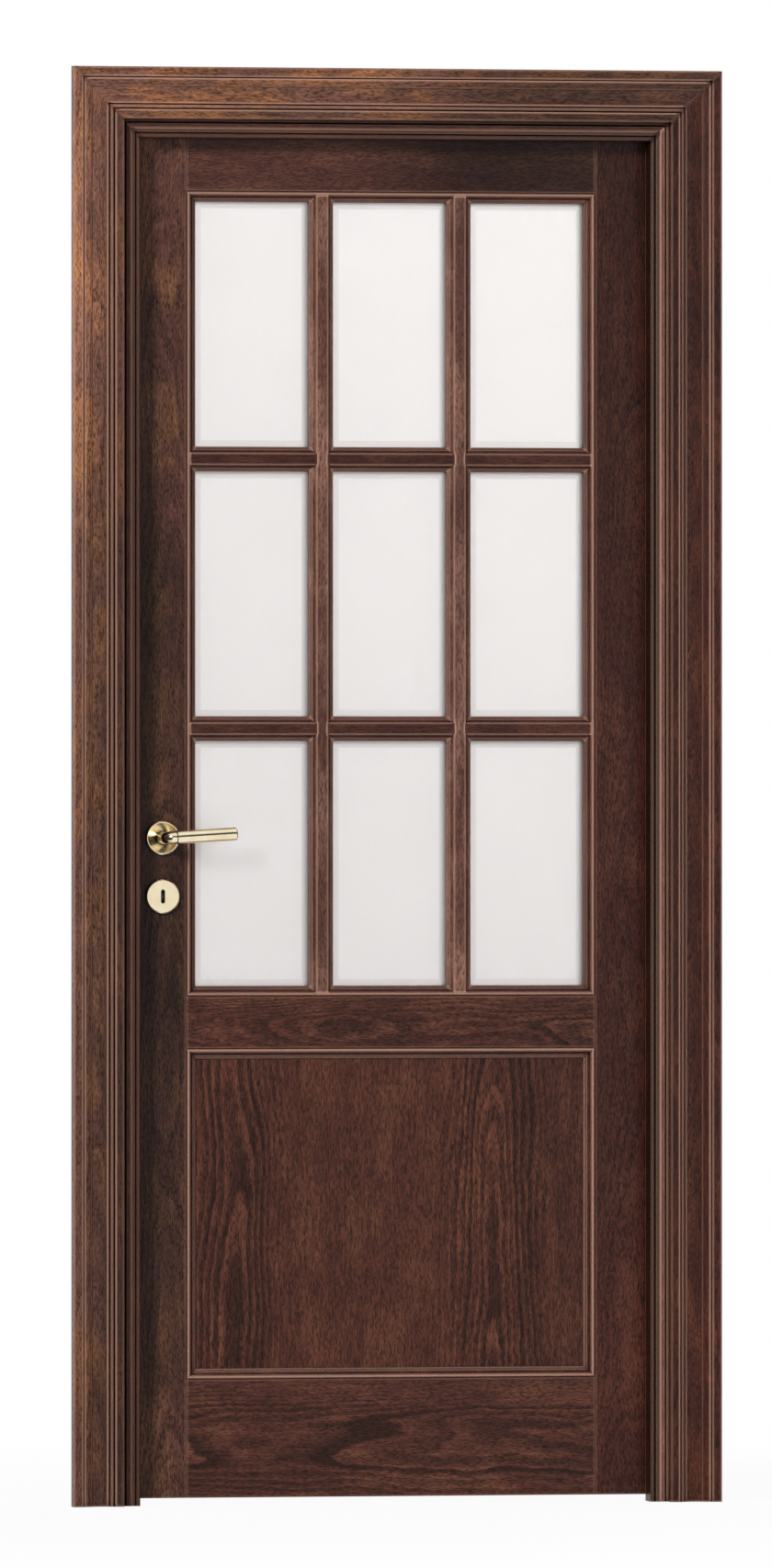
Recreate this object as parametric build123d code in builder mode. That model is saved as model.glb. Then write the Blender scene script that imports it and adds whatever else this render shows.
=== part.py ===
"""A glazed oak door in its moulded frame: bevelled panes over one panel, with a brass lever.

Sizes are in millimetres. The origin is at the foot of the hinge jamb's wall face, halfway through the
jamb. +X points out of that face, +Y is the side that the leaf opens to and +Z is up.
"""

from build123d import *
from math import cos, radians, sin
import os

os.makedirs("parts", exist_ok=True)

# Passage between the jambs and under the head
clear_width = 800
clear_height = 2100

# Jamb boards, and the stops planted on them
jamb_depth = 90
jamb_board = 25
jamb_hollow_start = 7
jamb_hollow_radius = 3
stop_thickness = 15
stop_gap = 7
stop_bead_radius = 3.5
stop_quirk_width = 1.5
stop_quirk_depth = 4
stop_arris_width = 2
stop_arris_depth = 1

# Leaf and the air round it
leaf_thickness = 44
lock_gap = 7
hinge_gap = 5
head_gap = 5
floor_gap = 10

# Leaf framing, with eased arrises that show the joints
stile_width = 88
top_rail_height = 90
middle_rail_height = 80
bottom_rail_height = 182
middle_rail_foot = 701
framing_arris = 0.8

# Architrave: a band along each edge, with a bead, a wide hollow and a quarter round between them
architrave_width = 80
back_architrave_width = 56
architrave_thickness = 22
architrave_setback = 28
inner_band_width = 14.5
inner_band_height = 19
inner_band_round = 3
outer_band_width = 15.5
back_outer_band_width = 10
outer_band_round = 1.5
band_quirk_width = 1.5
band_quirk_height = 14.5
casing_bead_radius = 3
deep_quirk_width = 2
deep_quirk_height = 7
wide_hollow_width = 26
back_hollow_width = 14
wide_hollow_height = 11.5
wide_hollow_sag = 1.5
casing_step = 1.5
casing_round_height = 18
casing_round_rise = 1
back_relief = 1
back_outer_land = 6
back_wall_lap = 2

# Moulded edges: a bead at the sight line, a hollow, and a quarter round up to the face
sight_bead_radius = 3
sight_bead_depth = 9.5
sight_land = 4
sight_step = 1
hollow_radius = 5
face_round = 2
rim_bead_radius = 1.75
rim_quirk_width = 1.5
rim_quirk_depth = 2
glass_depth = 19.5

# Bars and panes
bar_flat = 16
bar_tongue = 12
pane_columns = 3
pane_rows = 3
glass_thickness = 6
glass_cover = 8
bevel_width = 10
bevel_drop = 1
back_bead_chamfer = 7

# Panel
panel_thickness = 16
groove_depth = 10
panel_play = 2

# Seal in the stops
seal_width = 4
seal_sunk = 3
seal_proud = 2

# Round covers: the rose is dished inside its rim, the keyhole's cover is flat
backset = 50
spindle_height = 1025
lock_centres = 90
cover_radius = 26
cover_thickness = 8
cover_rim_bevel = 1.5
cover_rim_land = 1
rose_dish = 5
keyhole_width = 6.5
keyhole_length = 22

# Lever: a round neck bent square into a thicker grip
lever_reach = 108
lever_projection = 50
lever_rise = 3.5
neck_radius = 9.6
neck_start = 1
bearing_gap = 0.2
elbow_radius = 11
ring_distance = 12
ring_width = 1.6
ring_depth = 0.8
grip_radius = 10.6
grip_shoulder = 1
tip_bevel = 2
spindle_side = 8
spindle_play = 0.1
spindle_depth = 18
spindle_hole_radius = 8

# Lock front, its bolts and the strike plate
forend_width = 22
forend_length = 235
forend_thickness = 3
latch_height = 20
dead_bolt_height = 32
bolt_width = 12
bolt_length = 30
bolt_play = 0.3
strike_length = 170
mouth_depth = 15
mouth_margin = 2

# Butt hinges
hinge_count = 3
hinge_length = 100
hinge_plate = 2.5
hinge_plate_width = 30
hinge_axis_offset = 7
hinge_top_distance = 200
hinge_foot_distance = 250
knuckle_count = 5
knuckle_radius = 6
knuckle_bore_gap = 0.1
knuckle_end_gap = 0.3
pin_radius = 3
finial_height = 4
finial_tip_radius = 3

# Places across the frame, worked out from the sizes above
jamb_thickness = jamb_board + stop_thickness
hinge_clear_x = -jamb_thickness
lock_clear_x = hinge_clear_x - clear_width
mid_x = (hinge_clear_x + lock_clear_x) / 2
front_y = -jamb_depth / 2
back_y = jamb_depth / 2
leaf_front_y = back_y - leaf_thickness
leaf_mid_y = back_y - leaf_thickness / 2
stop_depth = leaf_front_y - stop_gap - front_y
hinge_board_x = hinge_clear_x + stop_thickness
lock_board_x = lock_clear_x - stop_thickness

# Places on the leaf
leaf_hinge_x = hinge_board_x - hinge_gap
leaf_lock_x = lock_board_x + lock_gap
leaf_foot_z = floor_gap
leaf_top_z = clear_height + stop_thickness - head_gap
field_low_x = leaf_lock_x + stile_width
field_high_x = leaf_hinge_x - stile_width
panel_low_z = leaf_foot_z + bottom_rail_height
panel_high_z = middle_rail_foot
glazing_low_z = middle_rail_foot + middle_rail_height
glazing_high_z = leaf_top_z - top_rail_height

# Places of the mouldings, bars and panes
stuck_width = sight_land + hollow_radius + face_round
moulding_width = stuck_width + 2 * rim_bead_radius + rim_quirk_width
bar_width = bar_flat + 2 * stuck_width
sight_low_x = field_low_x + moulding_width
sight_high_x = field_high_x - moulding_width
sight_low_z = glazing_low_z + moulding_width
sight_high_z = glazing_high_z - moulding_width
pane_width = (sight_high_x - sight_low_x - (pane_columns - 1) * bar_width) / pane_columns
pane_height = (sight_high_z - sight_low_z - (pane_rows - 1) * bar_width) / pane_rows
column_pitch = pane_width + bar_width
row_pitch = pane_height + bar_width
pane_xs = [sight_low_x + pane_width / 2 + i * column_pitch for i in range(pane_columns)]
pane_zs = [sight_low_z + pane_height / 2 + i * row_pitch for i in range(pane_rows)]
upright_xs = [x + column_pitch / 2 for x in pane_xs[:-1]]
cross_zs = [z + row_pitch / 2 for z in pane_zs[:-1]]
glass_seat_y = leaf_front_y + glass_depth
glass_front_y = glass_seat_y - bevel_drop
glass_back_y = glass_front_y + glass_thickness

# Places of the lock and the hinges
spindle_x = leaf_lock_x + backset
keyhole_height = spindle_height - lock_centres
lock_mid_z = (spindle_height + keyhole_height) / 2
hinge_axis_x = leaf_hinge_x + hinge_gap / 2
hinge_axis_y = back_y + hinge_axis_offset
hinge_low_z = leaf_foot_z + hinge_foot_distance
hinge_high_z = leaf_top_z - hinge_top_distance
hinge_step = (hinge_high_z - hinge_low_z) / (hinge_count - 1)
hinge_zs = [hinge_low_z + i * hinge_step for i in range(hinge_count)]
knuckle_pitch = hinge_length / knuckle_count

# The two sides, each with its name, the leaf's face there and the way out of it
to_front = (0, -1, 0)
to_back = (0, 1, 0)
leaf_sides = (("front", leaf_front_y, to_front), ("back", back_y, to_back))


def save(piece, name):
    """Labels a finished piece and writes it to its own file."""
    piece.part.label = name
    export_step(piece.part, f"parts/{name}.step")


def block(low, high, mode=Mode.ADD):
    """A block between two corners, added to or cut from the piece that is being made."""
    middle = tuple((a + b) / 2 for a, b in zip(low, high))
    with Locations(middle):
        Box(*[b - a for a, b in zip(low, high)], mode=mode)


def mitred_length(section, origin, across, depth, half_length, outline):
    """A straight length of one section, with its ends cut to an outline seen from the front.

    The section's X runs along across and its Y along depth, both from origin, which is at mid-length.
    """
    normal = Vector(*across).cross(Vector(*depth))
    with BuildPart() as length:
        with BuildSketch(Plane(origin=origin, x_dir=across, z_dir=normal)):
            add(section)
        extrude(amount=half_length, both=True)
        with BuildSketch(Plane.XZ):
            with BuildLine():
                Polyline(*outline, close=True)
            make_face()
        extrude(amount=2 * jamb_depth, both=True, mode=Mode.INTERSECT)
    return length.part


def three_sides(section, face_y, depth, setback, width):
    """Lock side, head and hinge side of the frame in one section, mitred at the head."""
    low_x = lock_clear_x - setback
    high_x = hinge_clear_x + setback
    head_z = clear_height + setback
    top_z = head_z + width
    half_span = (high_x - low_x) / 2 + width
    half_rise = top_z / 2
    left = [(low_x, 0), (low_x, head_z), (low_x - width, top_z), (low_x - width, 0)]
    right = [(high_x, 0), (high_x, head_z), (high_x + width, top_z), (high_x + width, 0)]
    head = [left[1], left[2], right[2], right[1]]
    places = {
        "lock_side": ((low_x, face_y, half_rise), (-1, 0, 0), half_rise, left),
        "hinge_side": ((high_x, face_y, half_rise), (1, 0, 0), half_rise, right),
        "head": ((mid_x, face_y, head_z), (0, 0, 1), half_span, head),
    }
    lengths = {}
    for name, (origin, across, half_length, outline) in places.items():
        lengths[name] = mitred_length(section, origin, across, depth, half_length, outline)
    return lengths


def four_sides(section, face_y, depth, low_z, high_z, width):
    """One section round a sight opening as wide as the leaf's field, mitred at four corners."""
    low_x = sight_low_x
    high_x = sight_high_x
    centre_x = (low_x + high_x) / 2
    centre_z = (low_z + high_z) / 2
    half_x = (high_x - low_x) / 2 + width
    half_z = (high_z - low_z) / 2 + width
    inner = [(low_x, low_z), (low_x, high_z), (high_x, high_z), (high_x, low_z)]
    outer = [
        (low_x - width, low_z - width),
        (low_x - width, high_z + width),
        (high_x + width, high_z + width),
        (high_x + width, low_z - width),
    ]
    places = (
        ((low_x, face_y, centre_z), (-1, 0, 0), half_z),
        ((centre_x, face_y, high_z), (0, 0, 1), half_x),
        ((high_x, face_y, centre_z), (1, 0, 0), half_z),
        ((centre_x, face_y, low_z), (0, 0, -1), half_x),
    )
    lengths = []
    for i, (origin, across, half_length) in enumerate(places):
        after = (i + 1) % len(places)
        outline = [inner[i], outer[i], outer[after], inner[after]]
        lengths.append(mitred_length(section, origin, across, depth, half_length, outline))
    return lengths


def board_section():
    """A jamb board: X from the clear edge into the wall, Y from the front edge to the back edge."""
    hollow = stop_thickness + jamb_hollow_start
    hollow_end = hollow + jamb_hollow_radius
    with BuildSketch() as section:
        with BuildLine():
            Line((stop_thickness, 0), (hollow, 0))
            RadiusArc((hollow, 0), (hollow_end, jamb_hollow_radius), jamb_hollow_radius)
            Polyline(
                (hollow_end, jamb_hollow_radius),
                (hollow_end, 0),
                (jamb_thickness, 0),
                (jamb_thickness, jamb_depth),
                (stop_thickness, jamb_depth),
                (stop_thickness, 0),
            )
        make_face()
    return section.sketch


def stop_section():
    """A stop with its bead and the seal's groove: X from the clear edge, Y from the front edge back."""
    bead = 2 * stop_bead_radius
    quirk = bead + stop_quirk_width
    groove = (stop_thickness - seal_width) / 2
    with BuildSketch() as section:
        with BuildLine():
            ThreePointArc((0, stop_bead_radius), (stop_bead_radius, 0), (bead, stop_bead_radius))
            Polyline(
                (bead, stop_bead_radius),
                (bead, stop_quirk_depth),
                (quirk, stop_quirk_depth),
                (quirk, stop_arris_depth),
                (quirk + stop_arris_width, 0),
                (stop_thickness, 0),
                (stop_thickness, stop_depth),
                (groove + seal_width, stop_depth),
                (groove + seal_width, stop_depth - seal_sunk),
                (groove, stop_depth - seal_sunk),
                (groove, stop_depth),
                (0, stop_depth),
                (0, stop_bead_radius),
            )
        make_face()
    return section.sketch


def seal_section():
    """A soft strip with a round lip: X from the clear edge into the wall, Y towards the leaf."""
    low = (stop_thickness - seal_width) / 2
    high = low + seal_width
    with BuildSketch() as section:
        with BuildLine():
            Polyline((low, 0), (low, -seal_sunk), (high, -seal_sunk), (high, 0))
            ThreePointArc((high, 0), ((low + high) / 2, seal_proud), (low, 0))
        make_face()
    return section.sketch


def architrave_section(width, hollow_width, outer_band):
    """X runs from the edge beside the passage outwards, Y out from the wall."""
    inner_top = inner_band_height
    bead_start = inner_band_width + band_quirk_width
    bead_end = bead_start + 2 * casing_bead_radius
    bead_top = band_quirk_height + casing_bead_radius
    hollow_start = bead_end + deep_quirk_width
    hollow_end = hollow_start + hollow_width
    round_foot = wide_hollow_height + casing_step
    outer_start = width - outer_band
    round_end = outer_start - band_quirk_width
    outer_top = architrave_thickness
    soft = outer_band_round
    inner_land = jamb_thickness - architrave_setback + back_wall_lap
    with BuildSketch() as section:
        with BuildLine():
            Line((0, 0), (0, inner_top - inner_band_round))
            RadiusArc((0, inner_top - inner_band_round), (inner_band_round, inner_top), inner_band_round)
            Polyline(
                (inner_band_round, inner_top),
                (inner_band_width, inner_top),
                (inner_band_width, band_quirk_height),
                (bead_start, band_quirk_height),
            )
            ThreePointArc(
                (bead_start, band_quirk_height),
                (bead_start + casing_bead_radius, bead_top),
                (bead_end, band_quirk_height),
            )
            Polyline(
                (bead_end, band_quirk_height),
                (bead_end, deep_quirk_height),
                (hollow_start, deep_quirk_height),
                (hollow_start, wide_hollow_height),
            )
            SagittaArc((hollow_start, wide_hollow_height), (hollow_end, wide_hollow_height), -wide_hollow_sag)
            Line((hollow_end, wide_hollow_height), (hollow_end, round_foot))
            SagittaArc((hollow_end, round_foot), (round_end, casing_round_height), casing_round_rise)
            Polyline(
                (round_end, casing_round_height),
                (round_end, band_quirk_height),
                (outer_start, band_quirk_height),
                (outer_start, outer_top - soft),
            )
            RadiusArc((outer_start, outer_top - soft), (outer_start + soft, outer_top), soft)
            Line((outer_start + soft, outer_top), (width - soft, outer_top))
            RadiusArc((width - soft, outer_top), (width, outer_top - soft), soft)
            Polyline(
                (width, outer_top - soft),
                (width, 0),
                (width - back_outer_land, 0),
                (width - back_outer_land, back_relief),
                (inner_land, back_relief),
                (inner_land, 0),
                (0, 0),
            )
        make_face()
    return section.sketch


def moulded_edge(start, seat_depth):
    """Lines of the moulded edge from the glass or panel up to the face, from X start inwards to the wood."""
    bead_depth = sight_bead_depth + sight_bead_radius
    hollow_depth = sight_bead_depth - sight_step
    land = start + sight_land
    hollow_end = land + hollow_radius
    face_x = start + stuck_width
    Line((start, seat_depth), (start, bead_depth))
    RadiusArc((start, bead_depth), (start + sight_bead_radius, sight_bead_depth), -sight_bead_radius)
    Polyline((start + sight_bead_radius, sight_bead_depth), (land, sight_bead_depth), (land, hollow_depth))
    RadiusArc((land, hollow_depth), (hollow_end, hollow_depth - hollow_radius), hollow_radius)
    Line((hollow_end, hollow_depth - hollow_radius), (hollow_end, face_round))
    RadiusArc((hollow_end, face_round), (face_x, 0), -face_round)


def moulding_section(seat_depth):
    """X from the sight line outwards, Y from the leaf's face inwards: the moulded edge and a rim bead."""
    bead_end = stuck_width + 2 * rim_bead_radius
    with BuildSketch() as section:
        with BuildLine():
            moulded_edge(0, seat_depth)
            ThreePointArc(
                (stuck_width, 0), (stuck_width + rim_bead_radius, -rim_bead_radius), (bead_end, 0)
            )
            Polyline(
                (bead_end, 0),
                (bead_end, rim_quirk_depth),
                (moulding_width, rim_quirk_depth),
                (moulding_width, seat_depth),
                (0, seat_depth),
            )
        make_face()
    return section.sketch


def bar_section():
    """X from the bar's middle, Y from the leaf's face inwards, with the same moulded edge both ways."""
    half = bar_width / 2
    with BuildSketch() as section:
        with BuildLine():
            moulded_edge(-half, glass_depth)
            Polyline((-bar_flat / 2, 0), (0, 0), (0, glass_depth), (-half, glass_depth))
        make_face()
        mirror(about=Plane.YZ)
    return section.sketch


def bolt_room(z, height, margin, low_x, high_x):
    """Corners of a bolt at height z, or of the room round it that leaves a margin."""
    half_y = bolt_width / 2 + margin
    half_z = height / 2 + margin
    return (low_x, leaf_mid_y - half_y, z - half_z), (high_x, leaf_mid_y + half_y, z + half_z)


bolt_places = ((spindle_height, latch_height), (keyhole_height, dead_bolt_height))
strike_low = (lock_board_x - forend_thickness, leaf_mid_y - forend_width / 2, lock_mid_z - strike_length / 2)
strike_high = (lock_board_x, back_y, lock_mid_z + strike_length / 2)

# Jambs
jambs = three_sides(board_section(), front_y, to_back, 0, jamb_thickness)

with BuildPart() as jamb_lock_side:
    add(jambs["lock_side"])
    block(strike_low, strike_high, Mode.SUBTRACT)
    for z, height in bolt_places:
        mouth = bolt_room(z, height, mouth_margin, lock_board_x - mouth_depth, lock_board_x)
        block(*mouth, Mode.SUBTRACT)
save(jamb_lock_side, "jamb_lock_side")

with BuildPart() as jamb_hinge_side:
    add(jambs["hinge_side"])
    for z in hinge_zs:
        block(
            (hinge_board_x, back_y - hinge_plate_width, z - hinge_length / 2),
            (hinge_board_x + hinge_plate, back_y, z + hinge_length / 2),
            Mode.SUBTRACT,
        )
save(jamb_hinge_side, "jamb_hinge_side")

with BuildPart() as jamb_head:
    add(jambs["head"])
save(jamb_head, "jamb_head")

# Stops, each one length
for place, length in three_sides(stop_section(), front_y, to_back, 0, stop_thickness).items():
    with BuildPart() as stop:
        add(length)
    save(stop, f"stop_{place}")

# Architraves, wide on the front and narrower on the back
front_casing = (architrave_width, wide_hollow_width, outer_band_width)
back_casing = (back_architrave_width, back_hollow_width, back_outer_band_width)
casings = (("front", front_y, to_front, front_casing), ("back", back_y, to_back, back_casing))
for side, face_y, outwards, widths in casings:
    section = architrave_section(*widths)
    for place, length in three_sides(section, face_y, outwards, architrave_setback, widths[0]).items():
        with BuildPart() as architrave:
            add(length)
        save(architrave, f"architrave_{side}_{place}")

# Seal in the stop, one strip mitred at the corners
seal_lengths = three_sides(seal_section(), front_y + stop_depth, to_back, 0, stop_thickness)
with BuildPart() as rebate_seal:
    add(list(seal_lengths.values()))
save(rebate_seal, "rebate_seal")

# Strike plate, flush in the jamb board
with BuildPart() as strike_plate:
    block(strike_low, strike_high)
    for z, height in bolt_places:
        block(*bolt_room(z, height, mouth_margin, strike_low[0], strike_high[0]), Mode.SUBTRACT)
save(strike_plate, "strike_plate")


def framing(low, high):
    """A stile or rail between two corners, with its front and back arrises eased."""
    with BuildPart() as length:
        block(low, high)
        faces = length.faces().filter_by(Axis.Y)
        chamfer(faces.edges(), length=framing_arris)
    return length.part


def panel_groove(low, high):
    """Cuts the groove that holds the panel, between two corners seen from the front."""
    half = panel_thickness / 2
    block((low[0], leaf_mid_y - half, low[1]), (high[0], leaf_mid_y + half, high[1]), Mode.SUBTRACT)


def keyhole(start_y, outwards, length):
    """Cuts the upright, round-ended slot that the key goes into."""
    place = Plane(origin=(spindle_x, start_y, keyhole_height), x_dir=(0, 0, 1), z_dir=outwards)
    with BuildSketch(place) as slot:
        SlotOverall(keyhole_length, keyhole_width)
    extrude(slot.sketch, amount=length, mode=Mode.SUBTRACT)


# Stiles
forend_low = (leaf_lock_x, leaf_mid_y - forend_width / 2, lock_mid_z - forend_length / 2)
forend_high = (leaf_lock_x + forend_thickness, leaf_mid_y + forend_width / 2, lock_mid_z + forend_length / 2)

with BuildPart() as stile_lock_side:
    add(framing((leaf_lock_x, leaf_front_y, leaf_foot_z), (field_low_x, back_y, leaf_top_z)))
    panel_groove(
        (field_low_x - groove_depth, panel_low_z - groove_depth),
        (field_low_x, panel_high_z + groove_depth),
    )
    with Locations((spindle_x, leaf_mid_y, spindle_height)):
        Cylinder(spindle_hole_radius, leaf_thickness, rotation=(90, 0, 0), mode=Mode.SUBTRACT)
    keyhole(leaf_front_y, to_back, leaf_thickness)
    block(forend_low, forend_high, Mode.SUBTRACT)
    for z, height in bolt_places:
        block(*bolt_room(z, height, bolt_play, leaf_lock_x, leaf_lock_x + bolt_length), Mode.SUBTRACT)
save(stile_lock_side, "stile_lock_side")

with BuildPart() as stile_hinge_side:
    add(framing((field_high_x, leaf_front_y, leaf_foot_z), (leaf_hinge_x, back_y, leaf_top_z)))
    panel_groove(
        (field_high_x, panel_low_z - groove_depth),
        (field_high_x + groove_depth, panel_high_z + groove_depth),
    )
    for z in hinge_zs:
        block(
            (leaf_hinge_x - hinge_plate, back_y - hinge_plate_width, z - hinge_length / 2),
            (leaf_hinge_x, back_y, z + hinge_length / 2),
            Mode.SUBTRACT,
        )
save(stile_hinge_side, "stile_hinge_side")

# Rails
with BuildPart() as rail_top:
    add(framing((field_low_x, leaf_front_y, glazing_high_z), (field_high_x, back_y, leaf_top_z)))
save(rail_top, "rail_top")

with BuildPart() as rail_middle:
    add(framing((field_low_x, leaf_front_y, panel_high_z), (field_high_x, back_y, glazing_low_z)))
    panel_groove((field_low_x, panel_high_z), (field_high_x, panel_high_z + groove_depth))
save(rail_middle, "rail_middle")

with BuildPart() as rail_bottom:
    add(framing((field_low_x, leaf_front_y, leaf_foot_z), (field_high_x, back_y, panel_low_z)))
    panel_groove((field_low_x, panel_low_z - groove_depth), (field_high_x, panel_low_z))
save(rail_bottom, "rail_bottom")

# Panel, loose by a little in its grooves, and the mouldings planted round it
panel_edge = groove_depth - panel_play
with BuildPart() as panel:
    block(
        (field_low_x - panel_edge, leaf_mid_y - panel_thickness / 2, panel_low_z - panel_edge),
        (field_high_x + panel_edge, leaf_mid_y + panel_thickness / 2, panel_high_z + panel_edge),
    )
save(panel, "panel")

panel_seat = (leaf_thickness - panel_thickness) / 2
panel_sight = (panel_low_z + moulding_width, panel_high_z - moulding_width)
with BuildPart() as panel_mouldings:
    for face_y, inwards in ((leaf_front_y, to_back), (back_y, to_front)):
        add(four_sides(moulding_section(panel_seat), face_y, inwards, *panel_sight, moulding_width))
save(panel_mouldings, "panel_mouldings")

# Glazing bars: their moulded edges are mitred into each other and into the frame moulding
half_bar = bar_width / 2
half_flat = bar_flat / 2
half_tongue = bar_tongue / 2
bar_notch = [(-half_bar, 0), (-half_flat, stuck_width), (half_flat, stuck_width), (half_bar, 0)]


def cut_mouths(places):
    """Cuts the mitred mouths that take the ends of crossing bars.

    A place is the middle of the mouth on the sight line and the way that the mouth goes in.
    """
    for (x, z), (way_x, way_z) in places:
        points = [(x + way_x * d + way_z * a, z + way_z * d + way_x * a) for a, d in bar_notch]
        with BuildSketch(Plane.XZ.offset(-glass_seat_y)) as mouth:
            with BuildLine():
                Polyline(*points, close=True)
            make_face()
        extrude(mouth.sketch, amount=leaf_thickness, mode=Mode.SUBTRACT)


frame_mouths = []
for x in upright_xs:
    frame_mouths += [((x, sight_low_z), (0, -1)), ((x, sight_high_z), (0, 1))]
for z in cross_zs:
    frame_mouths += [((sight_low_x, z), (-1, 0)), ((sight_high_x, z), (1, 0))]

glazing_lengths = four_sides(
    moulding_section(glass_depth), leaf_front_y, to_back, sight_low_z, sight_high_z, moulding_width
)
with BuildPart() as glazing_moulding_front:
    add(glazing_lengths)
    cut_mouths(frame_mouths)
save(glazing_moulding_front, "glazing_moulding_front")

glazing_mid_z = (glazing_low_z + glazing_high_z) / 2
glazing_half_height = (glazing_high_z - glazing_low_z) / 2
for x, place in zip(upright_xs, ("lock_side", "hinge_side")):
    outline = [
        (x - half_bar, sight_low_z),
        (x - half_bar, sight_high_z),
        (x - half_flat, sight_high_z + stuck_width),
        (x + half_flat, sight_high_z + stuck_width),
        (x + half_bar, sight_high_z),
        (x + half_bar, sight_low_z),
        (x + half_flat, sight_low_z - stuck_width),
        (x - half_flat, sight_low_z - stuck_width),
    ]
    bar_mid = (x, leaf_front_y, glazing_mid_z)
    length = mitred_length(bar_section(), bar_mid, (1, 0, 0), to_back, glazing_half_height, outline)
    mouths = []
    for z in cross_zs:
        mouths += [((x - half_bar, z), (1, 0)), ((x + half_bar, z), (-1, 0))]
    with BuildPart() as bar_upright:
        add(length)
        cut_mouths(mouths)
        block((x - half_tongue, glass_seat_y, glazing_low_z), (x + half_tongue, back_y, glazing_high_z))
    save(bar_upright, f"bar_upright_{place}")

tongue_ends = [field_low_x] + upright_xs + [field_high_x]
for z, place in zip(cross_zs, ("lower", "upper")):
    lengths = []
    for x in pane_xs:
        low_x = x - pane_width / 2
        high_x = x + pane_width / 2
        outline = [
            (low_x, z - half_bar),
            (low_x - stuck_width, z - half_flat),
            (low_x - stuck_width, z + half_flat),
            (low_x, z + half_bar),
            (high_x, z + half_bar),
            (high_x + stuck_width, z + half_flat),
            (high_x + stuck_width, z - half_flat),
            (high_x, z - half_bar),
        ]
        bar_mid = (x, leaf_front_y, z)
        lengths.append(mitred_length(bar_section(), bar_mid, (0, 0, 1), to_back, column_pitch / 2, outline))
    with BuildPart() as bars_cross:
        add(lengths)
        for i in range(pane_columns):
            low_x = tongue_ends[i] + (half_tongue if i else 0)
            high_x = tongue_ends[i + 1] - (half_tongue if i < pane_columns - 1 else 0)
            block((low_x, glass_seat_y, z - half_tongue), (high_x, back_y, z + half_tongue))
    save(bars_cross, f"bars_cross_{place}")

# Panes, bevelled in front, and the beads that hold them from the back
with BuildPart() as pane_pattern:
    edge_drop = bevel_drop * (bevel_width + glass_cover) / bevel_width
    full = (pane_width + 2 * glass_cover, pane_height + 2 * glass_cover)
    with BuildSketch(Plane.XZ.offset(-glass_back_y)):
        Rectangle(*full)
    extrude(amount=glass_thickness - edge_drop)
    with BuildSketch(Plane.XZ.offset(-(glass_front_y + edge_drop))):
        Rectangle(*full)
    with BuildSketch(Plane.XZ.offset(-glass_front_y)):
        Rectangle(pane_width - 2 * bevel_width, pane_height - 2 * bevel_width)
    loft(ruled=True)

row_names = ("lower", "middle", "upper")
column_names = ("left", "centre", "right")
for z, row in zip(pane_zs, row_names):
    for x, column in zip(pane_xs, column_names):
        with BuildPart() as pane:
            with Locations((x, 0, z)):
                add(pane_pattern.part)
        save(pane, f"pane_{row}_{column}")

with BuildPart() as glazing_beads_back:
    for i, x in enumerate(pane_xs):
        for j, z in enumerate(pane_zs):
            low_x = field_low_x if i == 0 else upright_xs[i - 1] + half_tongue
            high_x = field_high_x if i == pane_columns - 1 else upright_xs[i] - half_tongue
            low_z = glazing_low_z if j == 0 else cross_zs[j - 1] + half_tongue
            high_z = glazing_high_z if j == pane_rows - 1 else cross_zs[j] - half_tongue
            block((low_x, glass_back_y, low_z), (high_x, back_y, high_z))
            block(
                (x - pane_width / 2, glass_back_y, z - pane_height / 2),
                (x + pane_width / 2, back_y, z + pane_height / 2),
                Mode.SUBTRACT,
            )
    back_faces = glazing_beads_back.faces().filter_by(Plane.XZ).group_by(Axis.Y)[-1]
    sight_edges = [edge for face in back_faces for edge in face.inner_wires()[0].edges()]
    chamfer(sight_edges, length=back_bead_chamfer)
save(glazing_beads_back, "glazing_beads_back")


def hinge_half(z, plate_low_x, knuckles, bored):
    """One plate with its knuckles at height z, flush in the wood and rolled round the pin."""
    foot = z - hinge_length / 2
    block(
        (plate_low_x, back_y - hinge_plate_width, foot),
        (plate_low_x + hinge_plate, back_y, foot + hinge_length),
    )
    for i in knuckles:
        low_z = foot + i * knuckle_pitch + (knuckle_end_gap / 2 if i else 0)
        last = i == knuckle_count - 1
        high_z = foot + (i + 1) * knuckle_pitch - (0 if last else knuckle_end_gap / 2)
        block((plate_low_x, back_y, low_z), (plate_low_x + hinge_plate, hinge_axis_y, high_z))
        with Locations((hinge_axis_x, hinge_axis_y, (low_z + high_z) / 2)):
            Cylinder(knuckle_radius, high_z - low_z)
            if bored:
                Cylinder(pin_radius + knuckle_bore_gap, high_z - low_z, mode=Mode.SUBTRACT)


# Butt hinges: the frame's halves carry the pins and their tips, the leaf's halves turn on them
finial_reach = (hinge_length + finial_height) / 2
with BuildPart() as hinge_frame_halves:
    for z in hinge_zs:
        hinge_half(z, hinge_board_x, range(0, knuckle_count, 2), False)
        with Locations((hinge_axis_x, hinge_axis_y, z)):
            Cylinder(pin_radius, hinge_length)
        with Locations((hinge_axis_x, hinge_axis_y, z + finial_reach)):
            Cone(knuckle_radius, finial_tip_radius, finial_height)
        with Locations((hinge_axis_x, hinge_axis_y, z - finial_reach)):
            Cone(finial_tip_radius, knuckle_radius, finial_height)
save(hinge_frame_halves, "hinge_frame_halves")

with BuildPart() as hinge_leaf_halves:
    for z in hinge_zs:
        hinge_half(z, leaf_hinge_x - hinge_plate, range(1, knuckle_count, 2), True)
save(hinge_leaf_halves, "hinge_leaf_halves")

# Lock front and the two bolts, drawn in
with BuildPart() as lock_forend:
    block(forend_low, forend_high)
    for z, height in bolt_places:
        block(*bolt_room(z, height, bolt_play, forend_low[0], forend_high[0]), Mode.SUBTRACT)
save(lock_forend, "lock_forend")

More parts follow.
